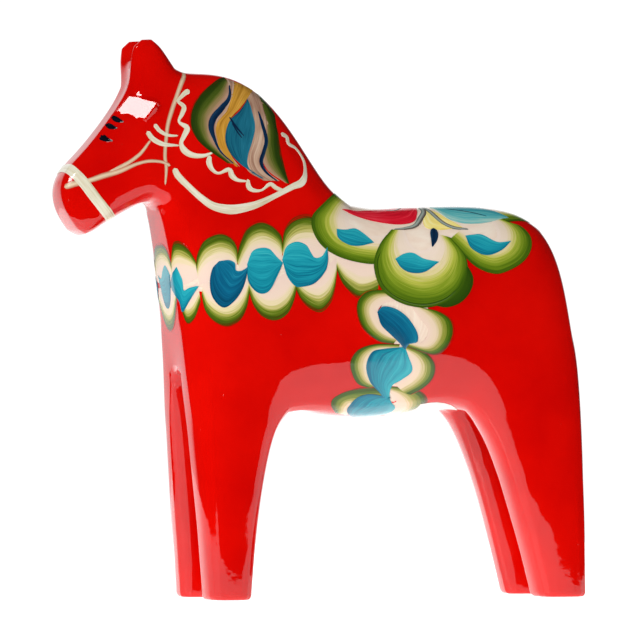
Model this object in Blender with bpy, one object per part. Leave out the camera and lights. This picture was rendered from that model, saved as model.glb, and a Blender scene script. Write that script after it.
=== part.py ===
"""Painted wooden horse: a carved pine core, its red coat, the painted ornaments and the paper label.

The horse faces -X, stands on Z = 0 and is the same on both sides of Y = 0. Sizes are
in millimetres here and become metres where a mesh is made.
"""

import math

import bmesh
import bpy
from mathutils import Vector

# Driving dimensions.
HEIGHT = 148.4  # floor to ear tips
WIDTH = 40.4  # across the barrel
SLOT_FOOT = 8.3  # half the saw cut between the legs, at the floor
SLOT_ROOF = 6.0  # the same just under the roof of the cut
SMOOTHING = 1  # how often each face of the cage is split and smoothed
CREST_GAP = 0.8  # half the bare line that parts the two mane flowers along the crest
COAT_THICK = 0.5  # filler, red paint and varnish together
GAP = 0.3  # clearance that two touching pieces keep
FILM_THICK = 0.4  # an ornament's paint
SLOT_CRISP = 0.8  # how crisp the saw cut's rim is left by the knife, from 0 to 1
LEG_BELOW = 8.0  # how far the cage's legs run under the floor before they are cut off

DRAWN_HEIGHT, DRAWN_WIDTH = 148.4, 40.4  # what the numbers below come to as they stand
MM = 0.001 * HEIGHT / DRAWN_HEIGHT
BREADTH = WIDTH / DRAWN_WIDTH

# The sawn outline, from the front toe up over the head and back, down the hind leg and along the belly.
# name: (x, z, half width of the side face, inset of the side face, half width of the edge's crease)
OUTLINE = {
    "toe": (-33.6, -LEG_BELOW, 19.2, 2.2, 16.6),
    "shin": (-36.1, 24.0, 19.3, 2.4, 16.4),
    "forearm": (-38.2, 46.0, 19.0, 3.0, 14.5),
    "chest_low": (-38.9, 60.5, 17.6, 4.2, 10.6),
    "chest": (-40.3, 75.0, 16.6, 4.6, 9.2),
    "chest_high": (-42.2, 89.0, 15.6, 4.4, 8.2),
    "throat_low": (-43.7, 97.5, 14.4, 3.8, 7.6),
    "throat": (-44.7, 101.8, 13.2, 3.2, 7.0),
    "throat_high": (-45.6, 104.4, 12.2, 2.8, 6.6),
    "jaw_root": (-47.6, 105.6, 11.4, 2.6, 6.6),
    "jaw_rear": (-51.0, 104.2, 10.8, 2.6, 6.4),
    "jaw": (-55.6, 101.6, 10.2, 2.6, 6.2),
    "jaw_front": (-60.4, 99.2, 9.2, 2.4, 6.0),
    "chin": (-64.9, 94.8, 8.0, 2.2, 5.6),
    "lip": (-69.2, 100.2, 7.4, 2.0, 5.4),
    "muzzle": (-72.6, 106.8, 7.2, 2.0, 5.2),
    "nose_tip": (-70.9, 113.8, 7.0, 2.2, 4.6),
    "nose": (-65.2, 117.4, 7.4, 2.6, 4.2),
    "brow": (-52.8, 134.0, 7.0, 3.0, 2.9),
    "ear_base": (-52.4, 138.4, 7.2, 2.2, 4.6),
    "ear_front": (-53.4, 147.6, 7.8, 1.0, 6.4),
    "ear_tip": (-46.6, 150.0, 7.6, 1.2, 5.8),
    "ear_rear": (-42.6, 144.2, 7.8, 1.6, 5.0),
    "ear_back": (-40.2, 140.8, 8.2, 2.2, 4.6),
    "poll": (-36.4, 139.2, 8.8, 2.8, 4.4),
    "crest_high": (-23.2, 140.4, 10.0, 4.2, 4.2),
    "crest": (-8.6, 129.4, 12.2, 4.6, 5.2),
    "withers": (2.4, 105.6, 15.0, 5.4, 7.4),
    "back_front": (14.0, 102.9, 16.6, 5.8, 9.6),
    "back": (27.0, 103.8, 17.0, 6.0, 10.4),
    "back_rear": (40.0, 104.4, 17.0, 6.0, 10.4),
    "croup": (52.4, 104.0, 16.4, 6.0, 9.6),
    "rump_high": (62.4, 100.2, 16.2, 6.0, 9.6),
    "rump": (67.6, 88.4, 17.2, 5.6, 11.4),
    "thigh": (69.6, 73.0, 18.2, 4.6, 13.4),
    "gaskin": (70.8, 57.0, 18.8, 3.8, 14.8),
    "hock": (71.3, 42.0, 19.2, 3.0, 15.8),
    "cannon": (71.6, 22.0, 19.4, 2.5, 16.4),
    "heel": (71.8, -LEG_BELOW, 19.4, 2.3, 16.6),
    "hind_toe": (59.8, -LEG_BELOW, 19.4, 2.3, 16.6),
    "hind_shin": (52.2, 22.0, 19.4, 2.5, 16.4),
    "stifle": (45.0, 43.0, 19.2, 2.8, 15.8),
    "flank_fold": (38.4, 52.6, 19.0, 3.2, 15.4),
    "belly_rear": (28.0, 52.0, 19.0, 4.0, 14.4),
    "belly": (14.0, 48.2, 19.0, 4.6, 13.6),
    "belly_front": (-1.0, 48.8, 19.0, 4.4, 13.8),
    "elbow": (-12.6, 51.2, 19.0, 3.2, 15.4),
    "knee": (-16.6, 41.0, 19.2, 2.8, 15.8),
    "pastern": (-20.2, 22.0, 19.3, 2.4, 16.4),
    "front_heel": (-22.8, -LEG_BELOW, 19.2, 2.2, 16.6),
}
OPEN_ENDS = {("front_heel", "toe"), ("heel", "hind_toe")}  # where the legs go on below the floor

# How far the middle of an edge stands out from its crease: the keel of the belly, or an ear's notch.
MIDDLE = {
    "ear_base": (0.4, -1.0),
    "ear_front": (1.4, -6.6),
    "ear_tip": (0.0, -8.0),
    "ear_rear": (-0.6, -3.8),
    "ear_back": (-0.2, -1.0),
    "belly_front": (0.0, -0.9),
    "belly": (0.0, -1.2),
    "belly_rear": (0.0, -3.4),
    "flank_fold": (1.2, -2.4),
    "back_front": (0.0, 0.8),
    "back": (0.0, 0.8),
    "back_rear": (0.0, 0.8),
    "croup": (0.3, 0.9),
}

# Points on the side face inside the outline: name: (x, z, half width)
SIDE = {
    "toe_mid": (-28.0, -LEG_BELOW, 19.6),
    "shin_mid": (-28.1, 24.0, 19.9),
    "forearm_mid": (-27.6, 45.0, 20.0),
    "shoulder_low": (-26.8, 61.0, 20.0),
    "shoulder": (-27.2, 76.0, 19.8),
    "ribs_front": (-13.6, 76.0, 20.4),
    "ribs": (0.0, 76.0, 20.6),
    "barrel": (14.0, 76.0, 20.8),
    "barrel_rear": (27.4, 76.0, 20.8),
    "haunch_front": (40.6, 75.0, 20.8),
    "haunch": (54.6, 74.0, 20.4),
    "haunch_low": (55.0, 57.0, 20.4),
    "hock_mid": (58.4, 42.0, 20.1),
    "cannon_mid": (61.6, 22.0, 19.9),
    "heel_mid": (65.4, -LEG_BELOW, 19.7),
    "shoulder_high": (-29.0, 90.0, 18.4),
    "blade": (-14.6, 91.0, 18.8),
    "ribs_high": (0.6, 91.6, 18.8),
    "loin_front": (14.0, 91.4, 18.8),
    "loin": (27.0, 91.4, 19.0),
    "loin_rear": (40.0, 91.4, 19.0),
    "haunch_high": (53.2, 90.0, 18.6),
    "neck_low_front": (-31.6, 99.4, 16.2),
    "neck_low": (-15.6, 102.0, 16.4),
    "neck_front": (-35.4, 106.6, 14.4),
    "neck": (-22.4, 115.0, 14.0),
    "neck_high_front": (-39.0, 112.6, 12.4),
    "neck_high": (-31.4, 126.4, 11.4),
    "lash_low": (-43.6, 113.6, 10.6),
    "lash": (-41.0, 126.8, 9.4),
    "cheek_rear": (-49.0, 112.4, 12.0),
    "temple": (-47.0, 124.6, 10.8),
    "ear_root": (-45.6, 135.8, 9.0),
    "ear_mid": (-46.2, 141.0, 8.6),
    "cheek": (-54.6, 110.8, 11.4),
    "eye": (-53.4, 121.8, 9.8),
    "lip_rear": (-60.8, 106.2, 9.6),
    "nostril": (-62.4, 112.6, 8.6),
}

# The side face's rows of quads, each row given from front to rear or from jaw to nose.
ROWS = (
    ("toe", "toe_mid", "front_heel"),
    ("shin", "shin_mid", "pastern"),
    ("forearm", "forearm_mid", "knee"),
    ("chest_low", "shoulder_low", "elbow", "belly_front", "belly", "belly_rear", "flank_fold",
     "haunch_low", "gaskin"),
    ("chest", "shoulder", "ribs_front", "ribs", "barrel", "barrel_rear", "haunch_front", "haunch", "thigh"),
    ("chest_high", "shoulder_high", "blade", "ribs_high", "loin_front", "loin", "loin_rear",
     "haunch_high", "rump"),
    ("throat_low", "neck_low_front", "neck_low", "withers"),
    ("throat", "neck_front", "neck", "crest"),
    ("throat_high", "neck_high_front", "neck_high", "crest_high"),
    ("jaw_root", "lash_low", "lash", "poll"),
    ("jaw_rear", "cheek_rear", "temple", "ear_root"),
    ("jaw", "cheek", "eye", "brow"),
    ("jaw_front", "lip_rear", "nostril", "nose"),
    ("chin", "lip", "muzzle", "nose_tip"),
)
BACK_ROW = ("ribs_high", "loin_front", "loin", "loin_rear", "haunch_high", "rump")
BACK_EDGE = ("withers", "back_front", "back", "back_rear", "croup", "rump_high")
HIND_ROWS = (
    ("hind_toe", "heel_mid", "heel"),
    ("hind_shin", "cannon_mid", "cannon"),
    ("stifle", "hock_mid", "hock"),
    ("flank_fold", "haunch_low", "gaskin"),
)
EAR_ROWS = (
    ("poll", "ear_root", "brow"),
    ("ear_back", "ear_mid", "ear_base"),
    ("ear_rear", "ear_tip", "ear_front"),
)


def strips(rows):
    """The quads between neighbouring rows of names."""
    quads = []
    for low, high in zip(rows, rows[1:]):
        for (a, b), (c, d) in zip(zip(low, low[1:]), zip(high, high[1:])):
            quads.append((a, b, d, c))
    return quads


class Cage:
    """Half of the horse's control mesh, on the -Y side, with a name for each vertex."""

    def __init__(self):
        self.mesh = bmesh.new()
        self.at = {}

    def point(self, name, x, y, z):
        self.at[name] = self.mesh.verts.new((x * MM, y * BREADTH * MM, z * MM))

    def face(self, *names):
        self.mesh.faces.new([self.at[name] for name in names])


def inward(name):
    """The outline's unit normal at a name, pointing into the horse, in the plane of the outline."""
    names = list(OUTLINE)
    i = names.index(name)
    before = Vector(OUTLINE[names[i - 1]][:2])
    after = Vector(OUTLINE[names[(i + 1) % len(names)]][:2])
    along = (after - before).normalized()
    if (names[i - 1], name) in OPEN_ENDS or (name, names[(i + 1) % len(names)]) in OPEN_ENDS:
        return Vector((1.0, 0.0)) if name in ("toe", "hind_toe") else Vector((-1.0, 0.0))
    return Vector((along.y, -along.x))


def slot_half(z):
    """Half the width of the saw cut between the legs at a height."""
    share = min(1.0, max(0.0, z / 50.0))
    return SLOT_FOOT + (SLOT_ROOF - SLOT_FOOT) * share


def add_edge_rings(cage):
    """The side face's rim, the crease outside it and the line along the middle of the horse."""
    for name, (x, z, half, inset, crease) in OUTLINE.items():
        step = inward(name) * inset
        cage.point(name, x + step.x, -half, z + step.y)
        cage.point("crease_" + name, x, -crease, z)
        dx, dz = MIDDLE.get(name, (0.0, 0.0))
        cage.point("middle_" + name, x + dx, 0.0, z + dz)


LEGS = (
    # front edge going up, rear edge going up, middle of the outer face going up
    (("toe", "shin", "forearm", "chest_low"), ("front_heel", "pastern", "knee", "elbow"),
     ("toe_mid", "shin_mid", "forearm_mid"), (-27.0, 56.5)),
    (("hind_toe", "hind_shin", "stifle", "flank_fold"), ("heel", "cannon", "hock", "gaskin"),
     ("heel_mid", "cannon_mid", "hock_mid"), (54.5, 56.5)),
)
SLOT_ENDS = ("chest_low", "gaskin")  # where the cut breaks out through the chest and the rump
ROOF_SIDE, ROOF_DROP = 4.4, 0.4  # half the flat part of the saw cut's roof, and how much it is domed
CORNER = 2.2  # how far the knife rounds a leg's inner corners
LEG_NAMES = {name for front, rear, mid, roof in LEGS for name in front[:3] + rear[:3]}


def add_leg(cage, front, rear, middle, roof):
    """The front, rear and inner faces of one leg, and its half of the roof of the saw cut."""
    for edge, ahead in ((front, 1.0), (rear, -1.0)):
        for name in edge[:3]:
            x, z = OUTLINE[name][:2]
            half = slot_half(z)
            cage.point("corner_" + name, x, -half - CORNER, z)
            cage.point("inner_" + name, x + CORNER * ahead, -half, z)
        for low, high in zip(edge[:3], edge[1:3]):
            cage.face("crease_" + low, "crease_" + high, "corner_" + high, "corner_" + low)
            cage.face("corner_" + low, "corner_" + high, "inner_" + high, "inner_" + low)
    for name in middle:
        x, z = SIDE[name][:2]
        cage.point("inner_" + name, x, -slot_half(z), z)
    for column in (front[:3], rear[:3]):
        for low, high in ((0, 1), (1, 2)):
            cage.face("inner_" + column[low], "inner_" + column[high],
                      "inner_" + middle[high], "inner_" + middle[low])
    top_front, top_rear, mid = front[3], rear[3], middle[2]
    for name in (top_front, top_rear):
        x, _, z = cage.at["middle_" + name].co / MM
        cage.point("roof_" + name, x, -ROOF_SIDE, z - ROOF_DROP)
    cage.point("roof_" + mid, roof[0], -ROOF_SIDE, roof[1] - ROOF_DROP)
    cage.point("ridge_" + mid, roof[0], 0.0, roof[1])
    for top, foot in ((top_front, front[2]), (top_rear, rear[2])):
        cage.face("middle_" + top, "roof_" + top, "roof_" + mid, "ridge_" + mid)
        cage.face("roof_" + top, "inner_" + foot, "inner_" + mid, "roof_" + mid)
        cage.face("roof_" + top, "corner_" + foot, "inner_" + foot)
        cage.face("crease_" + top, "crease_" + foot, "corner_" + foot, "roof_" + top)


def add_bands(cage):
    """The faces between the side face's rim and the middle of the horse, all round the outline."""
    names = list(OUTLINE)
    tops = {name for front, rear, mid, roof in LEGS for name in (front[3], rear[3])}
    for name, after in zip(names, names[1:] + names[:1]):
        if (name, after) in OPEN_ENDS:
            continue
        cage.face(name, after, "crease_" + after, "crease_" + name)
        if name in LEG_NAMES or after in LEG_NAMES:
            continue
        if name in tops or after in tops:
            top, other = (name, after) if name in tops else (after, name)
            cage.face("crease_" + top, "crease_" + other, "roof_" + top)
            cage.face("roof_" + top, "crease_" + other, "middle_" + other, "middle_" + top)
        else:
            cage.face("crease_" + name, "crease_" + after, "middle_" + after, "middle_" + name)


SHARP = (
    # runs of crease points whose edge stays crisp, and how crisp
    (("forearm", "chest_low", "chest", "chest_high", "throat_low", "throat", "throat_high"), 0.7),
    (("nose_tip", "nose", "brow", "ear_base"), 0.7),
    (("ear_base", "ear_front", "ear_tip", "ear_rear", "ear_back"), 0.5),
    (("chin", "lip", "muzzle"), 0.4),
)


def horse_cage():
    """The control mesh of the whole -Y half."""
    cage = Cage()
    add_edge_rings(cage)
    for name, (x, z, half) in SIDE.items():
        cage.point(name, x, -half, z)
    seen = set()
    for quad in (strips(ROWS[:4]) + strips(HIND_ROWS) + strips(ROWS[3:6]) + strips((ROWS[5][:4], ROWS[6]))
                 + strips(ROWS[6:]) + strips((BACK_ROW, BACK_EDGE)) + strips(EAR_ROWS)):
        if frozenset(quad) not in seen:
            seen.add(frozenset(quad))
            cage.face(*quad)
    for leg in LEGS:
        add_leg(cage, *leg)
    add_bands(cage)
    layer = cage.mesh.edges.layers.float.new("crease_edge")
    for run, crispness in SHARP:
        for a, b in zip(run, run[1:]):
            edge = cage.mesh.edges.get((cage.at["crease_" + a], cage.at["crease_" + b]))
            edge[layer] = crispness
    for front, rear, middle, roof in LEGS:
        for side in (front, rear):
            rim = ["corner_" + name for name in side[2::-1]]
            if side[3] in SLOT_ENDS:
                rim = ["middle_" + side[3], "roof_" + side[3]] + rim
            for a, b in zip(rim, rim[1:]):
                cage.mesh.edges.get((cage.at[a], cage.at[b]))[layer] = SLOT_CRISP
    return cage.mesh


def cap_legs(mesh):
    """Closes the legs' lower ends, with a crisp rim that keeps the shanks from tapering."""
    layer = mesh.edges.layers.float["crease_edge"]
    rim = [edge for edge in mesh.edges
           if edge.is_boundary and all(vert.co.z < -0.9 * LEG_BELOW * MM for vert in edge.verts)]
    for edge in rim:
        edge[layer] = 1.0
    bmesh.ops.holes_fill(mesh, edges=rim)


def half_mesh():
    """The -Y half as mesh data, facing outwards."""
    cage = horse_cage()
    cap_legs(cage)
    bmesh.ops.recalc_face_normals(cage, faces=cage.faces)
    widest = min(cage.faces, key=lambda face: face.calc_center_median().y)
    if widest.normal.y > 0.0:
        bmesh.ops.reverse_faces(cage, faces=cage.faces)
    data = bpy.data.meshes.new("horse_half")
    cage.to_mesh(data)
    cage.free()
    return data


def add_object(name, data, hidden=False):
    """An object in the scene. A hidden one is a cutter or a guide."""
    thing = bpy.data.objects.new(name, data)
    bpy.context.scene.collection.objects.link(thing)
    if hidden:
        thing.hide_render = True
        thing.display_type = "WIRE"
    return thing


def add_skin(name, data, offset, hidden=False):
    """The whole horse, its surface moved out by an offset in millimetres."""
    thing = add_object(name, data, hidden)
    mirror = thing.modifiers.new("other half", "MIRROR")
    mirror.use_axis = (False, True, False)
    mirror.merge_threshold = 0.0001
    if offset:
        grow = thing.modifiers.new("offset", "DISPLACE")
        grow.mid_level = 0.0
        grow.strength = offset * MM
    smooth = thing.modifiers.new("smooth", "SUBSURF")
    smooth.levels = smooth.render_levels = SMOOTHING
    split = thing.modifiers.new("same diagonals at every depth", "TRIANGULATE")
    split.quad_method = "FIXED"
    return thing


def cut(thing, cutter, operation="DIFFERENCE"):
    """Takes a cutter away from a thing, or keeps what they share."""
    step = thing.modifiers.new(cutter.name, "BOOLEAN")
    step.operation = operation
    step.object = cutter


def add_floor_cutter():
    """A block that takes away everything under Z = 0."""
    mesh = bmesh.new()
    bmesh.ops.create_cube(mesh, size=0.3)
    bmesh.ops.translate(mesh, verts=mesh.verts, vec=(0.0, 0.0, -0.15))
    data = bpy.data.meshes.new("floor_cutter")
    mesh.to_mesh(data)
    mesh.free()
    return add_object("floor_cutter", data, hidden=True)


def prism(name, outline, low, high, upright=False):
    """An outline in millimetres pushed along Y, or along Z if upright, from low to high."""
    mesh = bmesh.new()
    flat = [Vector((x, v, low)) if upright else Vector((x, low, v)) for x, v in outline]
    face = mesh.faces.new([mesh.verts.new(point * MM) for point in flat])
    pushed = bmesh.ops.extrude_face_region(mesh, geom=[face])["geom"]
    depth = (high - low) * MM
    bmesh.ops.translate(mesh, verts=[part for part in pushed if isinstance(part, bmesh.types.BMVert)],
                        vec=(0.0, 0.0, depth) if upright else (0.0, depth, 0.0))
    bmesh.ops.recalc_face_normals(mesh, faces=mesh.faces)
    data = bpy.data.meshes.new(name)
    mesh.to_mesh(data)
    mesh.free()
    return data


def ribbon(points, width):
    """The outline of a brushed line: the points of its centre, widened to both sides with mitred turns."""
    points = [Vector(point) for point in points]
    left, right = [], []
    for i, point in enumerate(points):
        before = (point - points[max(i - 1, 0)]).normalized()
        after = (points[min(i + 1, len(points) - 1)] - point).normalized()
        along = (before + after).normalized()
        stretch = 1.0 / max(0.6, along.dot(after if after.length else before))
        side = Vector((-along.y, along.x)) * (0.5 * width * stretch)
        left.append(point + side)
        right.append(point - side)
    return left + right[::-1]


def leaf(start, end, width):
    """The outline of one dab of the brush: blunt where it is set down, pointed where it is lifted."""
    start, end = Vector(start), Vector(end)
    along = end - start
    side = Vector((-along.y, along.x)).normalized() * (0.5 * width)
    shares = ((0.0, 0.45), (0.15, 0.9), (0.4, 1.0), (0.75, 0.5), (1.0, 0.08))
    outer = [start + along * reach + side * bulge for reach, bulge in shares]
    inner = [start + along * reach - side * bulge for reach, bulge in shares]
    return outer + inner[::-1]


def oval(middle, length, width, corners=28):
    """The outline of an ellipse."""
    turns = [2.0 * math.pi * i / corners for i in range(corners)]
    return [(middle[0] + 0.5 * length * math.cos(t), middle[1] + 0.5 * width * math.sin(t)) for t in turns]


def material(name, colour, roughness, coat=0.0):
    """A plain Principled material. The colour is in linear light."""
    finish = bpy.data.materials.new(name)
    finish.use_nodes = True
    finish.diffuse_color = (*colour, 1.0)
    shader = finish.node_tree.nodes["Principled BSDF"]
    shader.inputs["Base Color"].default_value = (*colour, 1.0)
    shader.inputs["Roughness"].default_value = roughness
    shader.inputs["Coat Weight"].default_value = coat
    return finish


# The ornaments, drawn in side view as (x, z).
NOSEBAND = ribbon([(-73.0, 117.6), (-56.4, 99.1)], 1.9)
CREAM_LINES = {  # painted alike on both sides
    "cheek_strap": ribbon([(-63.8, 110.7), (-56.6, 113.1), (-49.6, 115.6), (-46.4, 115.6)], 1.7),
    "cheek_branch": ribbon([(-56.6, 114.8), (-53.4, 117.4), (-48.8, 121.1)], 1.1),
    "throat_lash": ribbon([(-39.4, 137.4), (-41.6, 131.8), (-43.7, 126.0), (-44.6, 120.4),
                           (-44.9, 115.0), (-44.6, 110.0)], 1.1),
    "mane_scroll": ribbon([(-39.8, 131.6), (-38.4, 130.3), (-40.9, 126.5), (-38.8, 124.7),
                           (-40.3, 121.2), (-37.6, 117.6), (-33.6, 117.0), (-33.4, 114.3),
                           (-31.5, 112.8), (-28.0, 113.4), (-26.7, 111.3), (-23.5, 110.5),
                           (-22.0, 108.4), (-19.5, 108.2)], 1.2),
    "mane_curve": ribbon([(-12.0, 123.1), (-9.6, 120.2), (-7.4, 117.0), (-6.8, 113.0), (-9.4, 109.4),
                          (-14.3, 106.9), (-21.4, 104.1), (-28.5, 103.1), (-34.6, 105.3),
                          (-39.0, 109.2), (-42.4, 114.2)], 1.8),
}
MANE_FLOWER = [(-29.6, 142.0), (-33.2, 134.9), (-36.8, 131.1), (-37.2, 127.9), (-36.6, 124.2),
               (-34.6, 120.4), (-30.0, 116.5), (-23.4, 112.3), (-18.6, 110.4), (-12.0, 111.6),
               (-12.8, 115.4), (-13.8, 119.2), (-14.4, 124.9), (-13.6, 129.4), (-12.2, 135.0)]
BREAST_BAND = [(-60.0, 94.6), (-41.2, 94.8), (-37.3, 92.9), (-35.1, 96.0), (-31.5, 96.8), (-27.1, 95.2),
               (-23.9, 98.7), (-19.7, 100.1), (-14.0, 98.4), (-11.9, 101.0), (-8.6, 101.8),
               (-6.8, 100.6), (-6.5, 97.8), (-4.4, 93.0), (0.8, 90.0), (9.8, 88.2), (10.2, 85.0),
               (11.0, 82.6), (5.6, 80.9), (0.2, 81.6), (-1.1, 78.5), (-5.0, 76.3), (-8.0, 76.3),
               (-11.0, 78.2), (-12.5, 75.0), (-16.6, 73.7), (-20.7, 73.9), (-23.9, 76.0),
               (-25.8, 73.4), (-30.0, 72.3), (-33.1, 73.1), (-35.9, 76.0), (-38.9, 73.1), (-60.0, 73.1)]
SADDLE = [(6.0, 120.0), (2.6, 108.6), (-0.4, 106.9), (-3.5, 105.0), (-5.8, 102.2), (-5.7, 98.3),
          (-3.6, 93.8), (1.3, 90.9), (10.6, 89.1), (10.9, 86.4), (12.0, 83.0), (14.7, 79.9),
          (19.0, 77.8), (24.2, 77.2), (31.5, 79.4), (35.8, 83.6), (37.0, 88.2), (41.0, 86.8),
          (45.6, 86.4), (51.8, 88.5), (55.4, 92.4), (56.6, 98.0), (56.0, 120.0)]
GIRTH = [(11.4, 82.0), (8.6, 79.6), (6.0, 78.0), (4.6, 74.8), (5.4, 71.4), (8.4, 68.4), (5.2, 66.6),
         (3.4, 62.8), (5.6, 58.4), (1.2, 56.6), (-0.6, 53.6), (0.6, 51.0), (26.8, 53.4), (23.8, 56.2),
         (27.8, 59.4), (28.4, 63.2), (25.4, 65.8), (31.2, 67.4), (33.0, 71.6), (31.8, 75.6),
         (36.6, 79.2), (37.8, 82.6), (36.2, 83.0), (31.8, 78.6), (24.3, 76.4), (18.8, 77.0),
         (14.3, 79.2)]
EYE_DABS = (
    ((-57.3, 128.1), (-55.4, 126.2), 0.9),
    ((-58.9, 125.9), (-57.2, 124.3), 1.1),
    ((-61.2, 123.6), (-58.5, 121.1), 1.7),
)
LABEL_MIDDLE, LABEL_LENGTH, LABEL_WIDTH = (28.6, 0.0), 20.4, 30.0
FAR = 40.0  # clear of the horse on either side
CLEAR_OF_MIDDLE = 2.0  # where a prism for one side begins
LABEL_REACH = (40.0, 62.0)  # heights between which the label's prism meets the belly


def add_film(name, data, finish):
    """One ornament: the part of the paint layer that its prism holds."""
    film = add_object(name, data)
    cut(film, film_outside, "INTERSECT")
    cut(film, film_inside)
    data.materials.append(finish)


def add_pair(name, outline, finish, from_middle=0.0):
    """The same ornament on the left (-Y) and on the right."""
    add_film(name + "_left", prism(name + "_left", outline, -FAR, -from_middle), finish)
    add_film(name + "_right", prism(name + "_right", outline, from_middle, FAR), finish)


def add_ornaments():
    cream = material("cream_oil_paint", (0.66, 0.60, 0.36), 0.3, 1.0)
    green = material("green_oil_paint", (0.30, 0.40, 0.08), 0.3, 1.0)
    black = material("black_oil_paint", (0.01, 0.02, 0.03), 0.3, 1.0)
    add_film("noseband", prism("noseband", NOSEBAND, -FAR, FAR), cream)
    for name, outline in CREAM_LINES.items():
        add_pair(name, outline, cream, CLEAR_OF_MIDDLE)
    for number, (start, end, width) in enumerate(EYE_DABS, 1):
        add_pair(f"eye_dab_{number}", leaf(start, end, width), black, CLEAR_OF_MIDDLE)
    add_pair("mane_flower", MANE_FLOWER, green, CREST_GAP)
    add_pair("girth", GIRTH, green, CLEAR_OF_MIDDLE)
    add_film("breast_band", prism("breast_band", BREAST_BAND, -FAR, FAR), green)
    add_film("saddle", prism("saddle", SADDLE, -FAR, FAR), green)


def add_label():
    """The blank paper label glued across the belly."""
    outline = oval(LABEL_MIDDLE, LABEL_LENGTH, LABEL_WIDTH)
    add_film("paper_label", prism("paper_label", outline, *LABEL_REACH, upright=True),
             material("white_paper", (0.80, 0.80, 0.78), 0.7))


for leftover in list(bpy.data.objects):
    bpy.data.objects.remove(leftover)
half = half_mesh()
floor_cutter = add_floor_cutter()
coat_inside = add_skin("coat_inside", half.copy(), -COAT_THICK, hidden=True)
film_inside = add_skin("film_inside", half.copy(), GAP, hidden=True)
film_outside = add_skin("film_outside", half.copy(), GAP + FILM_THICK, hidden=True)

coat = add_skin("red_coat", half.copy(), 0.0)
coat.data.materials.append(material("red_lacquer", (0.80, 0.006, 0.002), 0.15, 1.0))
cut(coat, floor_cutter)
cut(coat, coat_inside)

wood = add_skin("pine_body", half.copy(), -COAT_THICK - GAP)
wood.data.materials.append(material("bare_pine", (0.62, 0.42, 0.22), 0.6))
cut(wood, floor_cutter)

add_ornaments()
add_label()
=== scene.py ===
import bpy
import itertools
import math
import numpy as np
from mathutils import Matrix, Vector


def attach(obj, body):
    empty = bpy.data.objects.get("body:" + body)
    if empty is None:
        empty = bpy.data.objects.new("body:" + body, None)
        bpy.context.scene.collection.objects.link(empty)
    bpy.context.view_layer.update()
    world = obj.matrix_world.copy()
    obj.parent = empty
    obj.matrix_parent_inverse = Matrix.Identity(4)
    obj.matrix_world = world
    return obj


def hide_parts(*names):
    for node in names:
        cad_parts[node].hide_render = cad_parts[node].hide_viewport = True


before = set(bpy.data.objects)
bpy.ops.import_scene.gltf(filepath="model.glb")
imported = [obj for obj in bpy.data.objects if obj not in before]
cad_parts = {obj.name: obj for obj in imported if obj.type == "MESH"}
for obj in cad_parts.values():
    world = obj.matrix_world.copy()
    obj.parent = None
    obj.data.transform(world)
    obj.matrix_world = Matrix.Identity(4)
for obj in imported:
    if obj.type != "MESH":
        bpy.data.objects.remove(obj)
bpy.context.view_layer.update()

mm = 0.001
bothSides = (("Left", "_left", 1), ("Right", "_right", -1))


def linearColour(hexCode):
    parts = [int(hexCode[i:i + 2], 16) / 255 for i in (1, 3, 5)]
    return tuple(p / 12.92 if p <= 0.04045 else ((p + 0.055) / 1.055) ** 2.4 for p in parts) + (1.0,)


def addNode(tree, kind, settings=None, links=None):
    node = tree.nodes.new(kind)
    for key, value in (settings or {}).items():
        if isinstance(key, int) or key in node.inputs:
            node.inputs[key].default_value = value
        else:
            setattr(node, key, value)
    for key, source in (links or {}).items():
        tree.links.new(source, node.inputs[key])
    return node


def fillRamp(ramp, stops):
    points = ramp.color_ramp.elements
    while len(points) < len(stops):
        points.new(1.0)
    for point, (place, colour) in zip(points, stops):
        point.position = place
        point.color = linearColour(colour)
    return ramp.outputs["Color"]


def newMaterial(name, finish):
    material = bpy.data.materials.new(name)
    material.use_nodes = True
    tree = material.node_tree
    shader = tree.nodes["Principled BSDF"]
    for key, value in finish.items():
        shader.inputs[key].default_value = value
    return material, tree, shader


def selectOnly(*objects):
    bpy.ops.object.select_all(action="DESELECT")
    for thing in objects:
        thing.select_set(True)
    bpy.context.view_layer.objects.active = objects[0]


def inEditMode(piece, steps, mode="VERT"):
    selectOnly(piece)
    bpy.ops.object.mode_set(mode="EDIT")
    bpy.ops.mesh.select_mode(type=mode)
    bpy.ops.mesh.select_all(action="SELECT")
    steps()
    bpy.ops.object.mode_set(mode="OBJECT")


def deselectAll():
    bpy.ops.mesh.select_all(action="DESELECT")


def onFaces(piece, chosen, steps):
    # the steps act on the faces that the test picks
    inEditMode(piece, deselectAll, "FACE")
    for face in piece.data.polygons:
        face.select = chosen(face)
    bpy.ops.object.mode_set(mode="EDIT")
    steps()
    bpy.ops.object.mode_set(mode="OBJECT")


def applyAll(piece):
    selectOnly(piece)
    for modifier in list(piece.modifiers):
        bpy.ops.object.modifier_apply(modifier=modifier.name)


def copyOfNode(nodeName, pieceName):
    piece = bpy.data.objects.new(pieceName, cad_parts[nodeName].data.copy())
    bpy.context.scene.collection.objects.link(piece)
    piece.data.materials.clear()
    return piece


def keep(piece, slot, *nodes):
    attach(piece, "root")
    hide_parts(*nodes)


# where it is seen from: degrees round and above, metres off, and a long lens in millimetres
view = {"azimuth": -17.5, "elevation": -0.5, "distance": 1.75, "aim": (0.0021, 0.0, 0.0736),
        "lens": 365.6, "sensor": 36, "clipEnd": 10}

azimuth = math.radians(view["azimuth"])
elevation = math.radians(view["elevation"])
level = math.cos(elevation)
backwards = Vector((math.sin(azimuth) * level, -math.cos(azimuth) * level, math.sin(elevation)))
bpy.ops.object.camera_add(location=Vector(view["aim"]) + backwards * view["distance"])
camera = bpy.context.object
camera.rotation_euler = backwards.to_track_quat("Z", "Y").to_euler()
camera.data.lens = view["lens"]
camera.data.sensor_width = view["sensor"]
camera.data.clip_end = view["clipEnd"]
bpy.context.scene.camera = camera
bpy.context.scene.view_settings.view_transform = "Standard"
print("camera placed")

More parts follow.
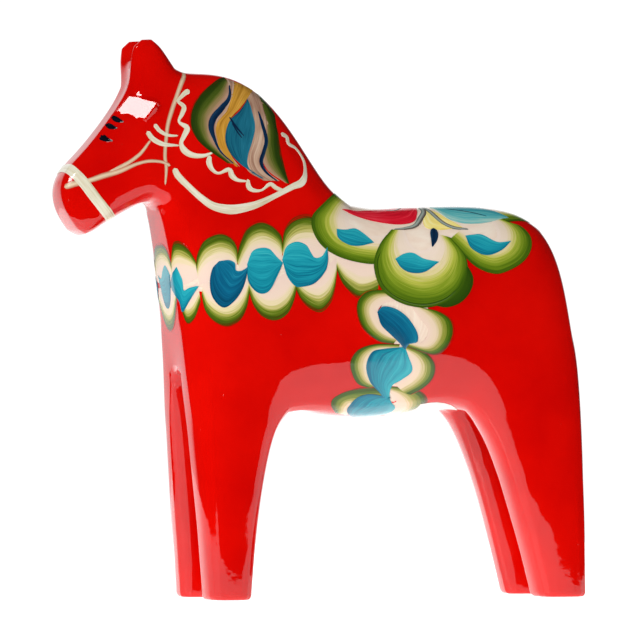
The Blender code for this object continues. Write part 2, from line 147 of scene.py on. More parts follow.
varnish = {"Coat Weight": 1.0, "Coat Roughness": 0.03, "Coat IOR": 1.5, "Roughness": 0.5, "IOR": 1.45,
           "Specular IOR Level": 0.0}


def makeRedLacquer():
    # dipped red lacquer under clear varnish: deep even colour, wet gloss, a few dust specks caught in it
    material, tree, shader = newMaterial("redLacquer", varnish)
    place = addNode(tree, "ShaderNodeTexCoord").outputs["Object"]
    # drifts about 22 mm across
    cloud = addNode(tree, "ShaderNodeTexNoise", {"Scale": 45.0, "Detail": 3.0}, {"Vector": place})
    ramp = addNode(tree, "ShaderNodeValToRGB", None, {"Fac": cloud.outputs["Fac"]})
    colour = fillRamp(ramp, [(0.3, "#C20200"), (0.5, "#CE0500"), (0.72, "#D80801")])
    tree.links.new(colour, shader.inputs["Base Color"])
    # dimples about 2.4 mm across, and specks about 7 mm apart
    peel = addNode(tree, "ShaderNodeTexNoise", {"Scale": 420.0, "Detail": 2.0}, {"Vector": place})
    dots = addNode(tree, "ShaderNodeTexVoronoi", {"Scale": 150.0}, {"Vector": place})
    speck = addNode(tree, "ShaderNodeMapRange",
                    {"From Min": 0.0, "From Max": 0.035, "To Min": 1.0, "To Max": 0.0},
                    {"Value": dots.outputs["Distance"]})
    peelBump = addNode(tree, "ShaderNodeBump", {"Strength": 0.05, "Distance": 0.0002},
                       {"Height": peel.outputs["Fac"]})
    bump = addNode(tree, "ShaderNodeBump", {"Strength": 0.5, "Distance": 0.0002},
                   {"Height": speck.outputs["Result"], "Normal": peelBump.outputs["Normal"]})
    tree.links.new(bump.outputs["Normal"], shader.inputs["Coat Normal"])
    tree.links.new(bump.outputs["Normal"], shader.inputs["Normal"])
    return material


def makeBrushedPaint(name, stops, across=1.0, streak=0.2, bristles=26.0, streakLength=14.0, relief=0.25):
    # oil paint laid with a flat brush under varnish: colour runs across the stroke, bristle lines along it
    # UV: U is millimetres along the stroke, V is 0 to 1 across it
    material, tree, shader = newMaterial(name, varnish)
    uv = addNode(tree, "ShaderNodeUVMap", {"uv_map": "UVMap"}).outputs["UV"]
    v = addNode(tree, "ShaderNodeSeparateXYZ", None, {"Vector": uv}).outputs["Y"]
    broadScale = (1 / streakLength, bristles * 0.28, 1)
    broadMap = addNode(tree, "ShaderNodeMapping", {"Scale": broadScale}, {"Vector": uv}).outputs[0]
    broad = addNode(tree, "ShaderNodeTexNoise", {"Scale": 1.0, "Detail": 2.0}, {"Vector": broadMap})
    fineScale = (2 / streakLength, bristles, 1)
    fineMap = addNode(tree, "ShaderNodeMapping", {"Scale": fineScale}, {"Vector": uv}).outputs[0]
    fine = addNode(tree, "ShaderNodeTexNoise", {"Scale": 1.0, "Detail": 3.0, "Roughness": 0.6},
                   {"Vector": fineMap})
    both = addNode(tree, "ShaderNodeMath", {"operation": "ADD"},
                   {0: broad.outputs["Fac"], 1: fine.outputs["Fac"]}).outputs[0]
    lines = addNode(tree, "ShaderNodeMath", {"operation": "MULTIPLY_ADD", 1: streak, 2: -streak},
                    {0: both}).outputs[0]
    value = addNode(tree, "ShaderNodeMath", {"operation": "MULTIPLY_ADD", 1: across},
                    {0: v, 2: lines}).outputs[0]
    if across < 0.5:  # colour is led by the bristle lines, about the middle of the ramp
        value = addNode(tree, "ShaderNodeMath", {"operation": "ADD", 1: 0.5 - across / 2},
                        {0: value}).outputs[0]
    ramp = addNode(tree, "ShaderNodeValToRGB", None, {"Fac": value})
    tree.links.new(fillRamp(ramp, stops), shader.inputs["Base Color"])
    bump = addNode(tree, "ShaderNodeBump", {"Strength": relief, "Distance": 0.00015},
                   {"Height": fine.outputs["Fac"]})
    tree.links.new(bump.outputs["Normal"], shader.inputs["Normal"])
    tree.links.new(bump.outputs["Normal"], shader.inputs["Coat Normal"])
    return material


redLacquer = makeRedLacquer()
# green strokes come from a brush loaded green on one edge and cream on the other
petalGreen = makeBrushedPaint("petalGreenOilPaint", [
    (0.0, "#EEDACA"), (0.28, "#E8D4BC"), (0.42, "#DACB8E"), (0.55, "#B7B94A"), (0.70, "#7F9424"),
    (0.84, "#5C7814"), (0.94, "#41600E"), (1.0, "#34500C")], streak=0.28, bristles=60.0, streakLength=26.0)
breastGreen = makeBrushedPaint("breastGreenOilPaint", [
    (0.0, "#EBCFC0"), (0.42, "#EBD2BE"), (0.60, "#E2D2A4"), (0.70, "#B4AE58"), (0.82, "#5E7418"),
    (0.92, "#3A500E"), (0.97, "#5A2E06"), (1.0, "#B80A02")], streak=0.24, bristles=44.0, streakLength=22.0)
girthGreen = makeBrushedPaint("girthGreenOilPaint", [
    (0.0, "#E8CDBC"), (0.36, "#E4CDB0"), (0.52, "#C4B476"), (0.66, "#8C9038"), (0.80, "#4C6A14"),
    (0.92, "#34500E"), (0.97, "#562C06"), (1.0, "#B40A02")], streak=0.26, bristles=44.0, streakLength=22.0)
flowerGreen = makeBrushedPaint("flowerGreenOilPaint", [
    (0.0, "#B08A74"), (0.18, "#A08060"), (0.34, "#77703A"), (0.52, "#465618"), (0.72, "#283C0C"),
    (0.92, "#22340A"), (0.97, "#4C2206"), (1.0, "#A80A02")], streak=0.28)
darkGreen = makeBrushedPaint("darkGreenOilPaint", [
    (0.0, "#47650F"), (0.5, "#33500C"), (1.0, "#24400A")])
groundCream = makeBrushedPaint("creamGroundOilPaint", [
    (0.3, "#E6CDB6"), (0.5, "#EED8C4"), (0.7, "#F4E6D4")], across=0.0, streak=0.6)
lineCream = makeBrushedPaint("creamLineOilPaint", [
    (0.22, "#BEA884"), (0.4, "#D5CBAC"), (0.55, "#DFD8C0"), (0.8, "#EAE5D4")],
    across=0.1, streak=0.8, bristles=9.0, relief=0.4)
thinCream = makeBrushedPaint("thinCreamOilPaint", [  # laid so thin that the red shows through at its edges
    (0.0, "#B4604A"), (0.2, "#CDA284"), (0.5, "#DCC8A6"), (0.8, "#CDA284"), (1.0, "#B4604A")],
    streak=0.3, bristles=7.0, relief=0.4)
tealBlue = makeBrushedPaint("tealOilPaint", [
    (0.26, "#0C5E7C"), (0.42, "#138094"), (0.54, "#1E98A8"), (0.68, "#2EAAB4"), (0.84, "#5CBCC0")],
    across=0.3, streak=0.5, bristles=34.0, streakLength=22.0)
deepBlue = makeBrushedPaint("deepBlueOilPaint", [
    (0.3, "#084460"), (0.48, "#0C5A7C"), (0.62, "#11708E"), (0.8, "#2C94A6")],
    across=0.3, streak=0.5, bristles=34.0, streakLength=22.0)
paleTeal = makeBrushedPaint("paleTealOilPaint", [
    (0.2, "#A9CFC2"), (0.4, "#66B8B8"), (0.6, "#3DA4AE"), (0.8, "#2A90A0")],
    across=0.4, streak=0.6, bristles=18.0)
flowerBlue = makeBrushedPaint("flowerBlueOilPaint", [
    (0.26, "#0F4358"), (0.45, "#175E74"), (0.6, "#1F6C82"), (0.8, "#3A8492")],
    across=0.2, streak=0.6, bristles=16.0)
navyBlue = makeBrushedPaint("navyOilPaint", [
    (0.3, "#06142A"), (0.5, "#0C2440"), (0.8, "#1C4462")], across=0.0, streak=0.6, bristles=6.0)
eyeBlack = makeBrushedPaint("blackOilPaint", [
    (0.3, "#05070D"), (0.55, "#0B0F1A"), (0.8, "#1A2130")], across=0.0, streak=0.5, bristles=6.0)
greyLine = makeBrushedPaint("greyOilPaint", [
    (0.0, "#59645E"), (0.4, "#A3AFA4"), (0.75, "#77706A"), (1.0, "#4C463E")], streak=0.3, bristles=5.0)
crimson = makeBrushedPaint("crimsonOilPaint", [
    (0.3, "#C40C22"), (0.5, "#E01A30"), (0.75, "#F24A58")], across=0.0, streak=0.7)
ochre = makeBrushedPaint("ochreOilPaint", [
    (0.3, "#9C6A20"), (0.5, "#C08A30"), (0.75, "#D8A448")], across=0.0, streak=0.7, bristles=14.0)
paleYellow = makeBrushedPaint("paleYellowOilPaint", [
    (0.3, "#E8CE62"), (0.5, "#F3E084"), (0.75, "#F7ECB4")], across=0.0, streak=0.7)
tanPaint = makeBrushedPaint("tanOilPaint", [
    (0.3, "#98705C"), (0.5, "#B49078"), (0.75, "#CCB098")], across=0.0, streak=0.8, bristles=14.0)


def makePineWood():
    # pine sawn across at the soles: pale end grain with brown rings about 2 mm apart
    material, tree, shader = newMaterial("barePineWood", {"Roughness": 0.7, "Specular IOR Level": 0.3})
    place = addNode(tree, "ShaderNodeTexCoord").outputs["Object"]
    bend = addNode(tree, "ShaderNodeMapping", {"Location": (0.0, 0.06, 0.0), "Scale": (1.0, 1.0, 0.06)},
                   {"Vector": place}).outputs[0]
    rings = addNode(tree, "ShaderNodeTexWave",
                    {"wave_type": "RINGS", "rings_direction": "Z", "Scale": 160.0,
                     "Distortion": 3.0, "Detail": 3.0}, {"Vector": bend})
    ramp = addNode(tree, "ShaderNodeValToRGB", None, {"Fac": rings.outputs["Fac"]})
    colour = fillRamp(ramp, [(0.0, "#E6C898"), (0.7, "#DDB57C"), (1.0, "#B98848")])
    tree.links.new(colour, shader.inputs["Base Color"])
    fibre = addNode(tree, "ShaderNodeTexNoise", {"Scale": 1600.0, "Detail": 3.0}, {"Vector": place})
    bump = addNode(tree, "ShaderNodeBump", {"Strength": 0.4, "Distance": 0.0001},
                   {"Height": fibre.outputs["Fac"]})
    tree.links.new(bump.outputs["Normal"], shader.inputs["Normal"])
    return material


def makeLabelPaper():
    # thin white label paper: soft fibres, no shine
    material, tree, shader = newMaterial("whiteLabelPaper", {"Roughness": 0.8, "Specular IOR Level": 0.25})
    place = addNode(tree, "ShaderNodeTexCoord").outputs["Object"]
    fibre = addNode(tree, "ShaderNodeTexNoise", {"Scale": 900.0, "Detail": 4.0}, {"Vector": place})
    ramp = addNode(tree, "ShaderNodeValToRGB", None, {"Fac": fibre.outputs["Fac"]})
    tree.links.new(fillRamp(ramp, [(0.3, "#E9E5DE"), (0.7, "#F8F6F2")]), shader.inputs["Base Color"])
    bump = addNode(tree, "ShaderNodeBump", {"Strength": 0.3, "Distance": 0.0001},
                   {"Height": fibre.outputs["Fac"]})
    tree.links.new(bump.outputs["Normal"], shader.inputs["Normal"])
    return material


barePine = makePineWood()
labelPaper = makeLabelPaper()
print("finishes mixed")

# softEdge and rimEdge say how far smoothing leaves the carved edges and the sawn rims alone, 0 to 1
coat = {"mergeWithin": 0.01 * mm, "quadAngles": (50, 60), "sharpFrom": 20, "softEdge": 0.6, "rimEdge": 0.6,
        "carveDepth": 0.3 * mm, "carveWidth": 21 * mm, "soleRadius": 1.2 * mm,
        "soleCuts": (0.08, 0.25, 0.5, 1.0), "atFloor": 0.02 * mm, "skinFrom": 2 * mm}

redCoat = copyOfNode("red_coat", "redCoat")
redCoat.data.materials.append(redLacquer)


def squareUp():
    # triangles are welded and paired into quads, so that smoothing runs evenly
    bend, skew = coat["quadAngles"]
    bpy.ops.mesh.remove_doubles(threshold=coat["mergeWithin"])
    bpy.ops.mesh.tris_convert_to_quads(face_threshold=math.radians(bend),
                                       shape_threshold=math.radians(skew))


def holdEdges():
    deselectAll()
    bpy.ops.mesh.edges_select_sharp(sharpness=math.radians(coat["sharpFrom"]))
    bpy.ops.transform.edge_crease(value=coat["softEdge"])


def roundSoles(piece):
    # the lower edge of each foot is rubbed round, coat and wood alike
    radius = coat["soleRadius"]
    for share in coat["soleCuts"]:
        inEditMode(piece, lambda: bpy.ops.mesh.bisect(plane_co=(0, 0, radius * share), plane_no=(0, 0, 1)))
    feet = {}
    for vertex in piece.data.vertices:
        if vertex.co.z < coat["atFloor"]:
            feet.setdefault((vertex.co.x > 0, vertex.co.y > 0), []).append(vertex.co.xy)
    middles = {foot: sum(places, Vector((0, 0))) / len(places) for foot, places in feet.items()}
    for vertex in piece.data.vertices:
        if vertex.co.z < radius:
            towards = middles[(vertex.co.x > 0, vertex.co.y > 0)] - vertex.co.xy
            inset = radius - math.sqrt(radius ** 2 - (radius - vertex.co.z) ** 2)
            vertex.co.xy += towards.normalized() * min(inset, towards.length / 2)


inEditMode(redCoat, squareUp)
inEditMode(redCoat, holdEdges, "EDGE")
creases = redCoat.data.attributes["crease_edge"].data
for edge in redCoat.data.edges:  # the sawn rims at the soles
    if all(redCoat.data.vertices[v].co.z < coat["atFloor"] for v in edge.vertices):
        creases[edge.index].value = coat["rimEdge"]

# smoothed with its carved edges kept, then given shallow knife work
smoother = redCoat.modifiers.new("smoother", "SUBSURF")
smoother.levels = smoother.render_levels = 2
carving = bpy.data.textures.new("knifeCarving", "CLOUDS")
carving.noise_scale = coat["carveWidth"]
carving.noise_depth = 0
knifeWork = redCoat.modifiers.new("knifeWork", "DISPLACE")
knifeWork.texture = carving
knifeWork.strength = coat["carveDepth"]
knifeWork.texture_coords = "LOCAL"
applyAll(redCoat)
for vertex in redCoat.data.vertices:  # the soles stay on the floor
    vertex.co.z = max(vertex.co.z, 0.0)
roundSoles(redCoat)

# one flat knife cut on each side of the forehead, in millimetres, given for the left side
# across and down are the directions of its edges, and lean is the way it faces
brow = {"middle": (-51.4, -7.55, 130.15), "across": (0.817, -0.624, -0.257), "down": (-0.601, 0.156, -0.78),
        "lean": (-0.536, -0.806, 0.252), "halfWidth": 4.0, "halfHeight": 2.9, "fade": 0.16, "reach": 1.5,
        "fineWithin": 7.5, "fineCuts": 3, "coatDepth": 0.4}


def nearBrow(face):
    x, y, z = face.center / mm
    return math.dist((x, -abs(y), z), brow["middle"]) < brow["fineWithin"]


def planeBrow(side, leans):
    flip = np.array([1, side, 1])
    axes = np.column_stack([flip * brow[key] for key in ("across", "down", "lean")])
    lean = Vector(axes[:, 2])
    for vertex in redCoat.data.vertices:
        place = np.array(vertex.co) / mm - flip * brow["middle"]
        if np.linalg.norm(place) > 2 * brow["fineWithin"]:
            continue
        across, down, above = np.linalg.solve(axes, place)
        off = max(abs(across) / brow["halfWidth"], abs(down) / brow["halfHeight"]) - 1
        if off < brow["fade"] and abs(above) < brow["reach"]:
            share = min(1.0, 1 - off / brow["fade"])
            under = brow["coatDepth"] if leans[vertex.index].dot(lean) < 0 else 0  # the coat's inner face
            vertex.co -= lean * (above + under) * share * mm


onFaces(redCoat, nearBrow, lambda: bpy.ops.mesh.subdivide(number_cuts=brow["fineCuts"]))
normals = [vertex.normal.copy() for vertex in redCoat.data.vertices]
planeBrow(1, normals)
planeBrow(-1, normals)
selectOnly(redCoat)
bpy.ops.object.shade_smooth()
keep(redCoat, "red_lacquer", "red_coat")
print("coat", len(redCoat.data.polygons), "faces")

pineBody = copyOfNode("pine_body", "pineBody")
pineBody.data.materials.append(barePine)
roundSoles(pineBody)
keep(pineBody, "bare_pine", "pine_body")


def cutApart():
    bpy.ops.mesh.delete(type="FACE")
    bpy.ops.mesh.separate(type="LOOSE")


# the outer skin of the coat alone, for the paint to lie on; it is removed at the end
skin = bpy.data.objects.new("skin", redCoat.data.copy())
bpy.context.scene.collection.objects.link(skin)
onFaces(skin, lambda face: face.center.z < coat["skinFrom"], cutApart)
shells = sorted(bpy.context.selected_objects, key=lambda shell: shell.dimensions.x)
skin = shells.pop()
for shell in shells:
    bpy.data.objects.remove(shell)
print("skin", len(skin.data.polygons), "faces")


# how paint is laid, lengths in millimetres: spread widens a line, bite is how far the paint reaches under
# the surface of the coat, crownEnds keeps the crown low near the ends of a stroke, and patternStep starts
# each stroke elsewhere in the bristle pattern
brush = {"spread": 1.15, "bite": 0.12, "mergeWithin": 0.02, "patternStep": 37,
         "spanSteps": 12, "leastColumns": 12, "leastRows": 4, "lineColumns": 16, "lineRows": 6,
         "evenOver": 9, "thinnestEnd": 0.003, "crownEnds": 12, "smoothBelow": 50,
         "farOut": 60, "nearMiddle": 6}
patternStart = itertools.count(brush["patternStep"], brush["patternStep"])


def smoothLine(points, count):
    # an even run of points on a smooth curve through the given ones
    points = np.array(points, float)
    ends = np.vstack([2 * points[0] - points[1], points, 2 * points[-1] - points[-2]])
    fine = []
    for a, b, c, d in zip(ends, ends[1:], ends[2:], ends[3:]):
        for t in np.linspace(0, 1, brush["spanSteps"], endpoint=False):
            fine.append(0.5 * (2 * b + (c - a) * t + (2 * a - 5 * b + 4 * c - d) * t ** 2
                               + (3 * b - a - 3 * c + d) * t ** 3))
    fine = np.array(fine + [points[-1]])
    run = np.concatenate([[0], np.cumsum(np.linalg.norm(np.diff(fine, axis=0), axis=1))])
    even = np.linspace(0, run[-1], count)
    return np.column_stack([np.interp(even, run, fine[:, k]) for k in range(fine.shape[1])]), run[-1]


def lengthOf(points):
    return smoothLine(points, 2)[1]


def onSkin(point, side):
    # (x, z) is a place seen square on from the side; (x, y, z) is given outright, for the left side
    if len(point) == 3:
        return Vector((point[0], point[1] * side, point[2])) * mm
    x, z = point
    start = Vector((x, -brush["farOut"] * side, z)) * mm
    hit, place = skin.ray_cast(start, Vector((0, side, 0)))[:2]
    if not hit:
        place = skin.closest_point_on_mesh(Vector((x, -brush["nearMiddle"] * side, z)) * mm)[1]
    return place


def normalAt(place):
    return skin.closest_point_on_mesh(Vector(place))[2]


def strokeGrid(columns, rows, lines):
    # a flat grid bent to run along the lines, V 0 on the first and V 1 on the last
    bpy.ops.object.select_all(action="DESELECT")
    bpy.ops.mesh.primitive_grid_add(x_subdivisions=columns, y_subdivisions=rows, size=1, calc_uvs=True)
    grid = bpy.context.object
    steps = np.linspace(0, 1, len(lines))
    along = np.linspace(0, 1, lines[0].shape[0])
    crown = grid.vertex_groups.new(name="crown")
    for vertex in grid.data.vertices:
        u, v = vertex.co.x + 0.5, vertex.co.y + 0.5
        across = [[np.interp(u, along, line[:, k]) for k in range(3)] for line in lines]
        vertex.co = [np.interp(v, steps, [a[k] for a in across]) for k in range(3)]
        fullness = min(1.0, brush["crownEnds"] * u, brush["crownEnds"] * (1 - u))
        crown.add([vertex.index], max(0.0, 1 - (2 * v - 1) ** 2) * fullness, "REPLACE")
    return grid


def finishStroke(grid, paint, height, crownHeight, length):
    start = next(patternStart)
    for corner in grid.data.uv_layers.active.data:  # U in millimetres
        corner.uv.x = corner.uv.x * length / mm + start
    wrap = grid.modifiers.new("ontoCoat", "SHRINKWRAP")
    wrap.target = skin
    wrap.wrap_method = "NEAREST_SURFACEPOINT"
    wrap.wrap_mode = "ABOVE_SURFACE"
    wrap.offset = height * mm
    applyAll(grid)
    inEditMode(grid, lambda: bpy.ops.mesh.remove_doubles(threshold=brush["mergeWithin"] * mm))
    if sum(face.normal.dot(normalAt(face.center)) for face in list(grid.data.polygons)[::7]) < 0:
        inEditMode(grid, bpy.ops.mesh.flip_normals)
    if crownHeight:
        rise = grid.modifiers.new("crown", "DISPLACE")
        rise.strength = crownHeight * mm
        rise.mid_level = 0
        rise.vertex_group = "crown"
    wall = grid.modifiers.new("paintBody", "SOLIDIFY")
    wall.thickness = (height + brush["bite"]) * mm
    wall.offset = -1
    applyAll(grid)
    bpy.ops.object.shade_smooth_by_angle(angle=math.radians(brush["smoothBelow"]))
    grid.data.materials.clear()
    grid.data.materials.append(paint)
    return grid


def sweptStroke(paint, height, lines, side=1, spacing=0.55, crownHeight=0.05):
    # a stroke between two or more lines, height millimetres over the coat and a little more at its crown
    placed = [[onSkin(p, side) for p in line] for line in lines]
    length = max(lengthOf(line) for line in placed)
    columns = max(brush["leastColumns"], round(length / (spacing * mm)))
    even = [smoothLine(line, columns + 1)[0] for line in placed]
    width = sum(np.linalg.norm(a - b, axis=1).max() for a, b in zip(even, even[1:]))
    rows = max(brush["leastRows"], round(width / (spacing * mm)))
    return finishStroke(strokeGrid(columns, rows, even), paint, height, crownHeight, length)


def lineStroke(paint, height, points, side=1, spacing=0.4, crownHeight=0.04):
    # a line of paint through (x, z, width) or (x, y, z, width), with rounded ends
    placed = [onSkin(p[:-1], side) for p in points]
    length = lengthOf(placed)
    columns = max(brush["lineColumns"], round(length / (spacing * mm)))
    centre = smoothLine([tuple(p) + (w[-1] * mm,) for p, w in zip(placed, points)], columns + 1)[0]
    widths = centre[:, 3] * brush["spread"]
    centre = centre[:, :3]
    outwards = np.array([normalAt(c) for c in centre])
    margin = brush["evenOver"] // 2
    padded = np.pad(outwards, ((margin, margin), (0, 0)), "edge")
    smooth = np.ones(brush["evenOver"]) / brush["evenOver"]
    outwards = np.column_stack([np.convolve(padded[:, k], smooth, "valid") for k in range(3)])
    sideways = np.cross(outwards, np.gradient(centre, axis=0))
    sideways /= np.linalg.norm(sideways, axis=1)[:, None]
    gone = np.linspace(0, length, columns + 1)
    ends = np.minimum(gone, length - gone) / np.maximum(widths / 2, 1e-6)
    fullness = 1 - (1 - np.clip(ends, 0, 1)) ** 2
    widths = widths * np.sqrt(np.clip(fullness, brush["thinnestEnd"], 1))
    low = centre - sideways * widths[:, None] / 2
    high = centre + sideways * widths[:, None] / 2
    grid = strokeGrid(columns, brush["lineRows"], [low, high])
    return finishStroke(grid, paint, height, crownHeight, length)


def joinStrokes(name, strokes, slot, *nodes):
    selectOnly(*strokes)
    if len(strokes) > 1:
        bpy.ops.object.join()
    piece = strokes[0]
    piece.name = piece.data.name = name
    selectOnly(piece)
    bpy.ops.object.transform_apply(location=True, rotation=True, scale=True)
    keep(piece, slot, *nodes)
    print(name, len(piece.data.polygons), "faces")


# places are in millimetres: x from the middle towards the tail, z up from the floor
breastBand = {
    "ground": [[(-41.5, -8, 88), (-37, 87), (-32, 90), (-27, 88.5), (-20, 92), (-14.5, 91), (-7, 95),
                (0, 96)],
               [(-41, -8, 81), (-37, 81.5), (-31, 81), (-24, 83), (-18, 82.5), (-11.5, 84.5), (-6, 84),
                (0, 88), (4, 89)]],
    "lowerLobes": [
        ([(-40.8, 83), (-39, 82), (-36.8, 84)],
         [(-40.3, 79.2), (-39.6, 75.3), (-38.7, 72.9), (-37.3, 74.4), (-36.1, 78.6)]),
        ([(-35.5, 84.4), (-31, 83), (-27.5, 84), (-24.5, 86.5)],
         [(-35.9, 80.2), (-35, 76), (-32.7, 73.1), (-29.7, 72), (-26.6, 73.6), (-24.7, 77.1),
          (-23.8, 81.3)]),
        ([(-23.7, 86.6), (-19.4, 84), (-15.6, 85.5), (-11.6, 87.7)],
         [(-24.3, 81.8), (-22.8, 77.3), (-20.1, 74.4), (-16.6, 73.7), (-13.6, 75.5), (-11.9, 78.7),
          (-11, 82.4)]),
        ([(-11, 87.7), (-6.7, 87.2), (-2.7, 88.3), (0.1, 90.4)],
         [(-11.8, 83.2), (-9.9, 79.2), (-6.9, 76.6), (-4.2, 76.1), (-1.7, 78.5), (-0.5, 81.9),
          (0.2, 86.1)]),
        ([(0.8, 91.2), (4.6, 90.4), (8.5, 90.4), (12.4, 91.3)],
         [(0, 87.7), (1.5, 84), (3.7, 81.4), (5.8, 79.8), (8.6, 80.1), (11.4, 81.4)])],
    "upperLobes": [
        ([(-41.6, -7.4, 84.5), (-39.7, 83.2), (-36.8, 85)],
         [(-42.3, -8.4, 90.9), (-42.1, -9.3, 94), (-41.4, 94.8), (-40.2, 94.2), (-38.7, 92.4),
          (-37.4, 89.7)]),
        ([(-36.4, 83.1), (-33.6, 84.4), (-31.1, 85), (-27.4, 86.6)],
         [(-37.3, 88.1), (-36.9, 91.8), (-35.2, 95), (-31.5, 96.8), (-28.4, 95.8), (-26.9, 93.4),
          (-26.8, 90.3)]),
        ([(-25.8, 85.5), (-22, 87.1), (-19.8, 87.6), (-15.2, 88.2)],
         [(-27.3, 90.2), (-25.7, 95), (-23.7, 98.5), (-20.3, 100.1), (-17.1, 99), (-14.7, 96.4),
          (-14.4, 93.5)]),
        ([(-14.4, 87.1), (-9.9, 89.3), (-6.6, 89.3), (-1.7, 87.7)],
         [(-14.6, 93.5), (-13.8, 97.7), (-11.4, 100.7), (-8.2, 102), (-5, 101.5), (-3, 98.9)])],
    "blues": [
        (tealBlue, [(-41.3, 87.7), (-41.4, 83.2), (-40.5, 79.2), (-39.7, 76), (-38.6, 78.4),
                    (-36.6, 82.6)],
         [(-41.1, 88), (-39.9, 84.5), (-39.6, 81.8), (-38.5, 82.4), (-37.2, 82.8), (-36.5, 82.8)]),
        (deepBlue, [(-31.7, 89.4), (-33.3, 87.6), (-34, 84.2), (-33.6, 80.5), (-31.9, 77.8),
                    (-29.9, 77.3), (-27, 80), (-25.1, 83.7), (-23.9, 88.9)],
         [(-31.7, 89.4), (-29.2, 89.7), (-27.6, 88.9), (-27.4, 87.1), (-26.3, 86.8), (-24.7, 87.6),
          (-23.9, 88.9)]),
        (tealBlue, [(-24.4, 88.7), (-24.3, 84.4), (-22.7, 81.8), (-20.6, 80.8), (-18.4, 81.8),
                    (-16.4, 85.3), (-14.6, 89)],
         [(-24.4, 88.7), (-22.9, 91.9), (-20.7, 92.9), (-18.2, 92.7), (-16.4, 90.8), (-14.6, 89)]),
        (tealBlue, [(-14.8, 89.8), (-13.6, 85.5), (-11.5, 82.9), (-9.3, 82.7), (-6, 83.7), (-3.1, 86.7),
                    (-2.1, 89.8), (-2.1, 93.3)],
         [(-14.8, 89.8), (-13.5, 93.2), (-10.7, 94.6), (-8, 93.8), (-6.7, 91.7), (-5.7, 90.4),
          (-3.7, 90.9), (-2.1, 93.3)])],
    # round the chest, from the left to the right
    "frontLobes": [
        ([(-41.5, -7, 84), (-42, 0, 84), (-41.5, 7, 84)],
         [(-42.2, -8.5, 88), (-43, -5.5, 93), (-43.1, 0, 94.5), (-43, 5.5, 93), (-42.2, 8.5, 88)]),
        ([(-41.5, -7, 82.5), (-41.5, 0, 82.5), (-41.5, 7, 82.5)],
         [(-40.5, -8.5, 79), (-40.2, -4.5, 73), (-40, 0, 71), (-40.2, 4.5, 73), (-40.5, 8.5, 79)])],
    "frontBlue": ([(-41.6, -5.6, 86), (-41.2, -3, 79), (-41, 0, 77), (-41.2, 3, 79), (-41.6, 5.6, 86)],
                  [(-41.6, -5.6, 86), (-42, -2.5, 88.5), (-42, 0.5, 87), (-42, 3, 85), (-41.6, 5.6, 86)]),
}

strokes = []
for side in (1, -1):
    strokes.append(sweptStroke(groundCream, 0.03, breastBand["ground"], side, crownHeight=0))
    for heart, rim in breastBand["lowerLobes"]:
        strokes.append(sweptStroke(breastGreen, 0.07, [heart, rim], side))
    for heart, rim in breastBand["upperLobes"]:
        strokes.append(sweptStroke(breastGreen, 0.11, [heart, rim], side))
    for paint, low, high in breastBand["blues"]:
        strokes.append(sweptStroke(paint, 0.2, [low, high], side, crownHeight=0.1))
for heart, rim in breastBand["frontLobes"]:
    strokes.append(sweptStroke(breastGreen, 0.06, [heart, rim]))
strokes.append(sweptStroke(tealBlue, 0.18, breastBand["frontBlue"]))
joinStrokes("breastBand", strokes, "green_oil_paint", "breast_band")

